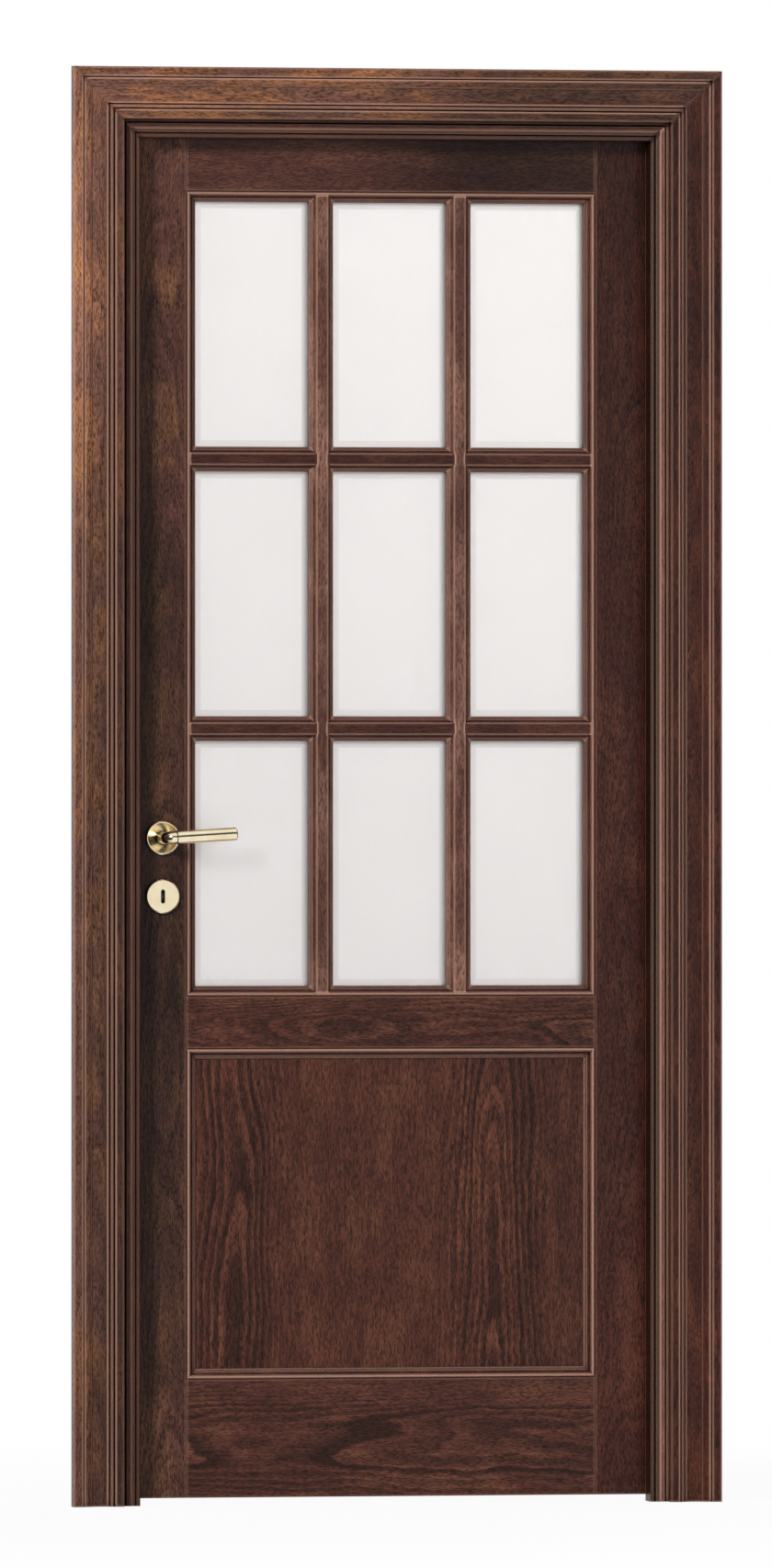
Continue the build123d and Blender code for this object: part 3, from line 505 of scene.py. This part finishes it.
# %% Choose the boards of the leaf
leaf_boards = {
    "stile_lock_side": dict(
        heart=(-0.790, 0.055), tones=lock_stile_tones, along=9.4, figure=0.35, wear_and_highlight=0.3, cloudy=0.28,
        drift=[("Z", 1.62, 1.40, 0.38), ("Z", 0.24, 0.10, 2.1)]),
    "stile_hinge_side": dict(
        heart=(-0.050, 0.060), tones=stile_tones, along=10.3, figure=0.35, wear_and_highlight=0.3,
        drift=[("Z", 1.10, 1.60, 0.62)]),
    "rail_top": dict(
        grain="level", heart=(2.220, 0.030), tones=top_rail_tones, along=9.9, figure=0.4, wear_and_highlight=0.3,
        # Painted shade: the drift makes the rail darker towards the hinge side, under the head.
        drift=[("X", -0.52, -0.27, 0.38)]),
    "rail_middle": dict(
        grain="level", heart=(0.722, 0.045), tones=rail_tones, along=11.2, figure=0.75, wear_and_highlight=0.3,
        cloudy=0.10),
    "rail_bottom": dict(
        grain="level", heart=(0.085, 0.060), tones=rail_tones, along=12.7, figure=0.9, wear_and_highlight=0.3,
        cloudy=0.10, spacing=0.0065),
    "panel": dict(
        heart=(-0.690, 0.060), tones=panel_tones, along=0.0, figure=0.85, wear_and_highlight=0.3, cloudy=0.07,
        spacing=0.0085, board_width=0.42,
        drift=[("X", -0.64, -0.70, 1.25), ("X", -0.38, -0.32, 1.18), ("X", -0.25, -0.22, 0.72)]),
    "panel_mouldings": dict(heart=(-0.300, 0.200), tones=leaf_tones, along=13.5, wear_and_highlight=1.0),
    "glazing_moulding_front": dict(heart=(-0.300, 0.200), tones=leaf_tones, along=14.6),
    "glazing_beads_back": dict(heart=(-0.440, 0.300), tones=back_tones, along=15.1),
    "bar_upright_lock_side": dict(heart=(-0.400, 0.060), tones=bar_tones, along=16.4, wear_and_highlight=1.0),
    "bar_upright_hinge_side": dict(heart=(-0.190, 0.050), tones=bar_tones, along=17.2, wear_and_highlight=1.0),
    "bars_cross_lower": dict(
        grain="level", heart=(1.290, 0.050), tones=leaf_tones, along=18.8, wear_and_highlight=0.9,
        seams=upright_planes),
    "bars_cross_upper": dict(
        grain="level", heart=(1.700, 0.050), tones=leaf_tones, along=19.3, wear_and_highlight=0.9,
        seams=upright_planes),
}
print("boards of the leaf:", len(leaf_boards))

# %% [markdown]
# Each piece is dressed with a material of its own. A piece comes with the plain colour of its CAD
# slot, which is cleared first.

# %% Dress the wooden pieces


def dress(node, material):
    """Takes the plain CAD colour off a solid and puts the material on it."""
    solids[node].data.materials.clear()
    solids[node].data.materials.append(material)


for node, cut in {**frame_boards, **leaf_boards}.items():
    dress(node, stained_oak("stained_oak_" + node, **cut))
print("boards of stained oak:", len(frame_boards) + len(leaf_boards))

# %% [markdown]
# ## Satin glass
#
# The panes are float glass, etched with acid until the surface is as fine as satin. The etch scatters
# light, so a pane looks like white paper from the front and still glows with what is behind it. White
# paint would do for the front alone, but it would never glow. So the shader is mostly glass with a
# high roughness, and the small rest is a pale diffuse surface, which takes the soft shadow of the
# mouldings. The etch itself is a grain under 0.1 mm. It is drawn as faint specks of 2 mm, or it would
# not show.
#
# Each pane has a ground border that slopes by 1 mm in 10. The slope sends some of the light aside, so
# it looks a little greyer than the middle. The Texture Coordinate node's Normal tells where it is: on
# the flat middle it points straight along Y, and on the slope its Y is below 0.9965.

# %% Make the satin glass
speck_size = 0.002
slope_y, flat_y = 0.9965, 0.9990
glass = new_material("satin_etched_glass")
tree = glass.node_tree
place = add_node(tree, "TexCoord")
specks = add_node(tree, "TexNoise", {}, {
    "Vector": place.outputs["Object"], "Scale": 1 / speck_size, "Detail": 2.0, "Roughness": 0.7})
clouds = add_node(tree, "TexNoise", {}, {
    "Vector": place.outputs["Object"], "Scale": 9.0, "Detail": 2.0})
both = add_node(tree, "Math", {"operation": "MULTIPLY_ADD"}, {
    0: clouds.outputs["Fac"], 1: 0.35, 2: specks.outputs["Fac"]})
etched = add_node(tree, "Mix", {"data_type": "RGBA"}, {
    share: both.outputs["Value"], first_colour: light_of("#cdcac9"),
    second_colour: light_of("#dad7d6")})
facing = add_node(tree, "SeparateXYZ", {}, {"Vector": place.outputs["Normal"]})
straight = add_node(tree, "Math", {"operation": "ABSOLUTE"}, {0: facing.outputs["Y"]})
sloped = add_node(tree, "MapRange", {}, {
    "Value": straight.outputs["Value"], "From Min": slope_y, "From Max": flat_y,
    "To Min": 1.0, "To Max": 0.0})
bordered = add_node(tree, "Mix", {"data_type": "RGBA"}, {
    share: sloped.outputs["Result"], first_colour: etched.outputs[mixed_colour],
    second_colour: light_of("#c3bebc")})
etch = add_node(tree, "Bump", {}, {
    "Height": specks.outputs["Fac"], "Strength": 0.08, "Distance": 0.0002})
frost = add_node(tree, "MapRange", {}, {
    "Value": specks.outputs["Fac"], "To Min": 0.50, "To Max": 0.66})
shader = add_node(tree, "BsdfPrincipled", {}, {
    "Base Color": bordered.outputs[mixed_colour], "Roughness": frost.outputs["Result"], "IOR": 1.5,
    "Transmission Weight": 0.88, "Normal": etch.outputs["Normal"]})
add_node(tree, "OutputMaterial", {}, {"Surface": shader.outputs["BSDF"]})

panes = [node for node in solids if node.startswith("pane_")]
for node in panes:
    dress(node, glass)
print("panes of satin glass:", len(panes))

# %% [markdown]
# ## Polished brass
#
# The lever, its rose, the keyhole cover, the hinges and the lock's plates are brass, polished on a
# wheel and lacquered. A mirror polish takes its looks from the room, so what matters is the colour,
# a low roughness, and hair-fine marks of the wheel that keep the reflections from looking like
# liquid. Real marks are a few hundredths of a millimetre apart. They are drawn a third of a
# millimetre apart, which is as fine as a close view can show. Lacquer adds a thin clear coat.
#
# In the keyhole and round the lever's neck the brass is darkened towards near black as painted shade,
# and deep in these nooks a dull, near-black diffuse shader stands in for the shade.

# %% Make the polished brass
along_hairlines, across_hairlines = 400.0, 3000.0
nook_shade_reach = 0.012
brass = new_material("polished_lacquered_brass")
tree = brass.node_tree
place = add_node(tree, "TexCoord")
wheel = add_node(tree, "Mapping", {}, {
    "Vector": place.outputs["Object"], "Rotation": (0, radians(20), 0),
    "Scale": (along_hairlines, along_hairlines, across_hairlines)})
marks = add_node(tree, "TexNoise", {}, {"Vector": wheel.outputs["Vector"], "Scale": 1.0, "Detail": 3.0})
clouds = add_node(tree, "TexNoise", {}, {
    "Vector": place.outputs["Object"], "Scale": 60.0, "Detail": 3.0})
tarnish = add_node(tree, "MapRange", {}, {
    "Value": clouds.outputs["Fac"], "From Min": 0.35, "From Max": 0.75})
metal = add_node(tree, "Mix", {"data_type": "RGBA"}, {
    share: tarnish.outputs["Result"], first_colour: light_of("#f8e9c9"),
    second_colour: light_of("#f0ddb3")})
# Painted shade: where the occlusion finds a nook, the brass is darkened towards near black.
nook = add_node(tree, "AmbientOcclusion", {"samples": 4}, {"Distance": nook_shade_reach})
nook_shade = add_node(tree, "MapRange", {}, {
    "Value": nook.outputs["AO"], "From Min": 0.15, "From Max": 0.60, "To Min": 0.92, "To Max": 0.0})
nook_shaded = add_node(tree, "Mix", {"data_type": "RGBA"}, {
    share: nook_shade.outputs["Result"], first_colour: metal.outputs[mixed_colour],
    second_colour: light_of("#2c1d0c")})
polish = add_node(tree, "MapRange", {}, {
    "Value": marks.outputs["Fac"], "From Min": 0.3, "From Max": 0.7, "To Min": 0.08, "To Max": 0.20})
hairlines = add_node(tree, "Bump", {}, {
    "Height": marks.outputs["Fac"], "Strength": 0.04, "Distance": 0.0001})
shader = add_node(tree, "BsdfPrincipled", {}, {
    "Base Color": nook_shaded.outputs[mixed_colour], "Metallic": 1.0, "Roughness": polish.outputs["Result"],
    "Coat Weight": 0.3, "Coat Roughness": 0.05, "Normal": hairlines.outputs["Normal"]})
# Painted shade: deep in a nook the brass becomes a dull, near-black diffuse surface.
bare = add_node(tree, "BsdfDiffuse", {}, {"Color": light_of("#1c130a")})
inside = add_node(tree, "MapRange", {}, {
    "Value": nook.outputs["AO"], "From Min": 0.25, "From Max": 0.45, "To Min": 1.0, "To Max": 0.0})
surface = add_node(tree, "MixShader", {}, {
    0: inside.outputs["Result"], 1: shader.outputs["BSDF"], 2: bare.outputs["BSDF"]})
add_node(tree, "OutputMaterial", {}, {"Surface": surface.outputs["Shader"]})

brass_nodes = [
    "lever_front", "lever_back", "spindle", "rose_front", "rose_back", "escutcheon_front",
    "escutcheon_back", "hinge_frame_halves", "hinge_leaf_halves", "lock_forend", "lock_bolts",
    "strike_plate",
]
for node in brass_nodes:
    dress(node, brass)
print("pieces of brass:", len(brass_nodes))

# %% [markdown]
# ## Rubber seal
#
# A strip of brown rubber sits in the stops, where the leaf closes against it. Extruded rubber is
# matt, with faint lines along its length and a bloom of dust that lifts its colour a little.

# %% Make the seal's rubber
across_lines, along_lines = 900.0, 20.0
rubber = new_material("extruded_seal_rubber")
tree = rubber.node_tree
place = add_node(tree, "TexCoord")
drawn = add_node(tree, "Mapping", {}, {
    "Vector": place.outputs["Object"], "Scale": (across_lines, across_lines, along_lines)})
lines = add_node(tree, "TexNoise", {}, {"Vector": drawn.outputs["Vector"], "Scale": 1.0, "Detail": 2.0})
bloom = add_node(tree, "TexNoise", {}, {
    "Vector": place.outputs["Object"], "Scale": 35.0, "Detail": 4.0})
dusty = add_node(tree, "Mix", {"data_type": "RGBA"}, {
    share: bloom.outputs["Fac"], first_colour: light_of("#2c1f1a"), second_colour: light_of("#43322a")})
dull = add_node(tree, "MapRange", {}, {"Value": lines.outputs["Fac"], "To Min": 0.6, "To Max": 0.85})
ribs = add_node(tree, "Bump", {}, {"Height": lines.outputs["Fac"], "Strength": 0.2, "Distance": 0.0002})
shader = add_node(tree, "BsdfPrincipled", {}, {
    "Base Color": dusty.outputs[mixed_colour], "Roughness": dull.outputs["Result"],
    "Normal": ribs.outputs["Normal"]})
add_node(tree, "OutputMaterial", {}, {"Surface": shader.outputs["BSDF"]})
dress("rebate_seal", rubber)
print("seal dressed, with lines", round(1000 / across_lines, 1), "mm apart")

# %% [markdown]
# ## Screws
#
# The hinges, the lock's front and the strike plate are held by countersunk wood screws with a cross
# slot. A screw head could be a cylinder with a cross cut out by booleans. Here it is one surface: a
# height over rings and spokes, with the cross pressed into it, which needs no cutting and stays light.

# %% Work out one screw head as heights over a disc
spokes = 32
ring_count = 9


def screw_head(radius, rise, slot_width, slot_depth):
    """Points and faces of a head that stands on z = 0.

    The height over the point at distance r is the rise times (1 - (r / radius) squared), less the
    slot's depth wherever the smaller of |x| and |y| is under half the slot's width and the larger is
    under 0.62 of the radius. The slot's walls are eased over a third of its width.
    """
    r = np.linspace(0, radius, ring_count)[1:, None]
    angle = np.linspace(0, 2 * np.pi, spokes, endpoint=False)[None, :]
    x = r * np.cos(angle)
    y = r * np.sin(angle)
    small = np.minimum(abs(x), abs(y))
    large = np.maximum(abs(x), abs(y))
    wall = np.clip((slot_width / 2 - small) / (slot_width / 3) + 0.5, 0, 1)
    end = np.clip((0.62 * radius - large) / (radius / 6) + 0.5, 0, 1)
    z = rise * (1 - (r / radius) ** 2) - slot_depth * wall * end
    rings = np.stack([x, y, z], axis=-1).reshape(-1, 3)
    points = np.vstack([[0, 0, rise - slot_depth], rings])
    i = np.arange(ring_count - 2)[:, None] * spokes
    j = np.arange(spokes)[None, :]
    k = (j + 1) % spokes
    quads = np.stack([1 + i + j, 1 + i + spokes + j, 1 + i + spokes + k, 1 + i + k], axis=-1)
    fan = np.stack([np.zeros_like(j), 1 + j, 1 + k], axis=-1).reshape(-1, 3)
    return points, fan.tolist() + quads.reshape(-1, 4).tolist()


head_points, head_faces = screw_head(radius=0.0042, rise=0.0006, slot_width=0.0013, slot_depth=0.0012)
print("one screw head:", len(head_points), "points,", len(head_faces), "faces")

# %% [markdown]
# A hinge or plate carries several screws in a row. All the heads set in one go are one mesh: the same
# disc is turned to look out of its plate and moved to each place, as one sum over whole arrays.

# %% Set screw heads in their plates


def set_screws(name, places, axes, body):
    """Puts a copy of the head at every place.

    Each point is the place plus x times the first axis, y times the second and z times the third.
    """
    spread = head_points @ np.array(axes)
    points = (np.array(places)[:, None, :] + spread[None, :, :]).reshape(-1, 3)
    faces = [[corner + i * len(head_points) for corner in face]
             for i in range(len(places)) for face in head_faces]
    mesh = bpy.data.meshes.new(name)
    mesh.from_pydata(points.tolist(), [], faces)
    mesh.shade_smooth()
    mesh.materials.append(brass)
    screws = bpy.data.objects.new(name, mesh)
    bpy.context.scene.collection.objects.link(screws)
    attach(screws, body)
    return screws


# %% [markdown]
# A hinge of this size has four screws in each half, in two staggered rows, because screws in one line
# could split the wood along its grain. Each mark below is a depth in y and a height from the middle of
# the hinge. The three axes say which way a head looks: out of the leaf's edge or out of the jamb.

# %% Screw the hinges on
hinge_height = 0.108
hinges_low, hinges_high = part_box("hinge_frame_halves")
hinge_step = (hinges_high.z - hinges_low.z - hinge_height) / 2
hinge_zs = [hinges_low.z + hinge_height / 2 + i * hinge_step for i in range(3)]
leaf_edge_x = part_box("stile_hinge_side")[1].x
jamb_face_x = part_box("jamb_hinge_side")[0].x
plate_marks = ((0.024, -0.036), (0.034, -0.013), (0.024, 0.013), (0.034, 0.036))
hinge_marks = [(y, z + dz) for z in hinge_zs for y, dz in plate_marks]
to_plus_x = ((0, 1, 0), (0, 0, 1), (1, 0, 0))
to_minus_x = ((0, 0, 1), (0, 1, 0), (-1, 0, 0))
set_screws("hinge_screws_leaf", [(leaf_edge_x, y, z) for y, z in hinge_marks], to_plus_x, "leaf")
set_screws("hinge_screws_frame", [(jamb_face_x, y, z) for y, z in hinge_marks], to_minus_x, "frame")
print("hinge heights:", [round(z, 3) for z in hinge_zs], "screws on each side:", len(hinge_marks))

# %% [markdown]
# The lock's front and the strike plate are narrow strips, with one screw near each end on their middle
# line.

# %% Screw the lock's front and the strike plate on
forend_inset, strike_inset = 0.012, 0.013
forend_low, forend_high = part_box("lock_forend")
strike_low, strike_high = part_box("strike_plate")
forend_mid_y = (forend_low.y + forend_high.y) / 2
forend_zs = (forend_low.z + forend_inset, forend_high.z - forend_inset)
strike_zs = (strike_low.z + strike_inset, strike_high.z - strike_inset)
set_screws("forend_screws", [(forend_low.x, forend_mid_y, z) for z in forend_zs], to_minus_x, "leaf")
set_screws("strike_screws", [(strike_high.x, forend_mid_y, z) for z in strike_zs], to_plus_x, "frame")
print("screw heights in the lock's front:", [round(z, 3) for z in forend_zs])

# %% [markdown]
# ## Floor and backdrop
#
# The door stands on a pale floor in a white studio. A white floor that is only painted white would
# still come out grey in a plain light, so its shader shows white to the camera, and the plain painted
# surface is mixed in just enough to keep the shadow that ties the door to the floor. Farther out the
# share of white grows to all of it, so that the floor runs into the backdrop without an edge. Polished
# metal doesn't mirror this floor but the world below the horizon, where the next step has something
# dark for it.

# %% Lay the floor
floor_half = 7.0
door_x = -0.44
below_the_feet = -0.0002
corners = np.array([(-1, -1), (1, -1), (1, 1), (-1, 1)]) * floor_half
floor_points = np.column_stack([corners[:, 0] + door_x, corners[:, 1], np.full(4, below_the_feet)])
floor_mesh = bpy.data.meshes.new("studio_floor")
floor_mesh.from_pydata(floor_points.tolist(), [], [(0, 1, 2, 3)])
floor = bpy.data.objects.new("studio_floor", floor_mesh)
bpy.context.scene.collection.objects.link(floor)

floor_paint = new_material("pale_studio_floor")
tree = floor_paint.node_tree
place = add_node(tree, "TexCoord")
scuffs = add_node(tree, "TexNoise", {}, {
    "Vector": place.outputs["Object"], "Scale": 2.5, "Detail": 4.0})
pale = add_node(tree, "Mix", {"data_type": "RGBA"}, {
    share: scuffs.outputs["Fac"], first_colour: light_of("#e6e6e4"),
    second_colour: light_of("#eeeeec")})
painted = add_node(tree, "BsdfDiffuse", {}, {"Color": pale.outputs[mixed_colour]})
white = add_node(tree, "Emission", {}, {"Color": light_of("#ffffff"), "Strength": 1.0})
ray = add_node(tree, "LightPath")
seen = add_node(tree, "Math", {"operation": "MAXIMUM"}, {
    0: ray.outputs["Is Camera Ray"], 1: ray.outputs["Is Transmission Ray"]})
mirrored = add_node(tree, "Math", {"operation": "MAXIMUM"}, {
    0: seen.outputs["Value"], 1: ray.outputs["Is Glossy Ray"]})
away = add_node(tree, "VectorMath", {"operation": "DISTANCE"}, {
    0: place.outputs["Object"], 1: (door_x, 0.0, 0.0)})
whiteness = add_node(tree, "MapRange", {"interpolation_type": "SMOOTHSTEP"}, {
    "Value": away.outputs["Value"], "From Min": 0.9, "From Max": 3.0, "To Min": 0.94, "To Max": 1.0})
lit = add_node(tree, "Math", {"operation": "MULTIPLY"}, {
    0: mirrored.outputs["Value"], 1: whiteness.outputs["Result"]})
surface = add_node(tree, "MixShader", {}, {
    0: lit.outputs["Value"], 1: painted.outputs["BSDF"], 2: white.outputs["Emission"]})
add_node(tree, "OutputMaterial", {}, {"Surface": surface.outputs["Shader"]})
floor_mesh.materials.append(floor_paint)
floor.visible_glossy = False
print("floor:", 2 * floor_half, "m each way")

# %% [markdown]
# The world is the studio round the door. To the light that falls on the door it is a plain soft grey,
# which fills the shadows. To the camera, and to what glass lets through, it is the white backdrop. To
# what polished metal mirrors, it is the same white with a dark band over the horizon and two dark
# doorways at the sides, because brass looks like brass only when it has something dark to mirror as
# well. Both are drawn from the direction of the ray: z says how high it goes, and x how far aside.

# %% Set up the world
soft_grey = 0.21
backdrop_white = 1.0
mirrored_white, mirrored_dark = 0.95, 0.04
world = bpy.data.worlds.new("studio")
bpy.context.scene.world = world
world.use_nodes = True
tree = world.node_tree
tree.nodes.clear()
direction = add_node(tree, "TexCoord")
axes = add_node(tree, "SeparateXYZ", {}, {"Vector": direction.outputs["Generated"]})
above = add_node(tree, "MapRange", {"interpolation_type": "SMOOTHSTEP"}, {
    "Value": axes.outputs["Z"], "From Min": 0.04, "From Max": 0.10})
below = add_node(tree, "MapRange", {"interpolation_type": "SMOOTHSTEP"}, {
    "Value": axes.outputs["Z"], "From Min": 0.42, "From Max": 0.60, "To Min": 1.0, "To Max": 0.0})
horizon = add_node(tree, "Math", {"operation": "MULTIPLY"}, {
    0: above.outputs["Result"], 1: below.outputs["Result"]})
height = add_node(tree, "Math", {"operation": "ABSOLUTE"}, {0: axes.outputs["Z"]})
level_view = add_node(tree, "MapRange", {"interpolation_type": "SMOOTHSTEP"}, {
    "Value": height.outputs["Value"], "From Min": 0.60, "From Max": 0.86, "To Min": 1.0, "To Max": 0.0})
aside = add_node(tree, "Math", {"operation": "ABSOLUTE"}, {0: axes.outputs["X"]})
wings = add_node(tree, "MapRange", {"interpolation_type": "SMOOTHSTEP"}, {
    "Value": aside.outputs["Value"], "From Min": 0.27, "From Max": 0.37})
doorways = add_node(tree, "Math", {"operation": "MULTIPLY"}, {
    0: level_view.outputs["Result"], 1: wings.outputs["Result"]})
dark = add_node(tree, "Math", {"operation": "MAXIMUM"}, {
    0: horizon.outputs["Value"], 1: doorways.outputs["Value"]})
room = add_node(tree, "MapRange", {}, {
    "Value": dark.outputs["Value"], "To Min": mirrored_white, "To Max": mirrored_dark})
ray = add_node(tree, "LightPath")
plain = add_node(tree, "Mix", {"data_type": "FLOAT"}, {
    share: ray.outputs["Is Glossy Ray"], first_number: soft_grey,
    second_number: room.outputs["Result"]})
open_view = add_node(tree, "Math", {"operation": "MAXIMUM"}, {
    0: ray.outputs["Is Camera Ray"], 1: ray.outputs["Is Transmission Ray"]})
strength = add_node(tree, "Mix", {"data_type": "FLOAT"}, {
    share: open_view.outputs["Value"], first_number: plain.outputs[mixed_number],
    second_number: backdrop_white})
backdrop = add_node(tree, "Background", {}, {
    "Color": light_of("#ffffff"), "Strength": strength.outputs[mixed_number]})
add_node(tree, "OutputWorld", {}, {"Surface": backdrop.outputs["Background"]})
print("light of the world on the door:", soft_grey, "of the backdrop's")

# %% [markdown]
# ## Lamps
#
# A soft key lamp stands high on the left. It is far enough away to light the top and the foot of the
# door almost alike, and it throws the short shadows that show the depth of the leaf in its frame and
# of the glass behind its mouldings. A weak fill from the right keeps them open, and a third lamp does
# for the back what the key does for the front. Together they light a wall facing them by about 1, so
# that a colour comes out as it is written. Rough glass would show each lamp behind it as a bright
# blot, and a photographer moves a lamp until it doesn't, so here none is seen through glass.

# %% Hang the lamps
from mathutils import Vector

door_middle = Vector((door_x, 0.0, 1.07))


def hang_lamp(name, offset, size, power):
    """A square lamp at an offset from the door's middle, turned so that its own -Z points there.

    The size is the length of its side in metres, and the power is in watts.
    """
    lamp = bpy.data.lights.new(name, "AREA")
    lamp.shape = "SQUARE"
    lamp.size = size
    lamp.energy = power
    holder = bpy.data.objects.new(name, lamp)
    holder.location = door_middle + Vector(offset)
    holder.rotation_euler = (-Vector(offset)).to_track_quat("-Z", "Y").to_euler()
    holder.visible_transmission = False
    bpy.context.scene.collection.objects.link(holder)
    return holder


key = hang_lamp("key_lamp", offset=(-7.6, -9.6, 5.3), size=2.6, power=1400.0)
hang_lamp("fill_lamp", offset=(4.4, -8.0, 0.6), size=4.0, power=80.0)
hang_lamp("back_lamp", offset=(3.8, 7.5, 3.2), size=3.0, power=420.0)
print("key lamp:", round((key.location - door_middle).length, 1), "m from the door")

# %% [markdown]
# ## Camera
#
# The photograph was taken from far away on the lock side: the door looks almost like a drawing, and
# the reveal shows only beside the hinges. A long lens from 26 m does the same. Its place, direction
# and focal length were fitted to the corners of the frame, the leaf and the panes.

# %% Set up the camera
camera_data = bpy.data.cameras.new("camera")
camera_data.sensor_fit = "AUTO"
camera_data.sensor_width = 36.0
camera_data.lens = 387.3
camera_data.clip_end = 200.0
camera = bpy.data.objects.new("camera", camera_data)
camera.location = (-5.5186, -25.5, 1.1078)
camera.rotation_euler = (radians(90.0), 0.0, radians(-11.2476))
bpy.context.scene.collection.objects.link(camera)
bpy.context.scene.camera = camera
bpy.context.scene.view_settings.view_transform = "Standard"
print("camera:", round((camera.location - door_middle).length, 1), "m from the door")
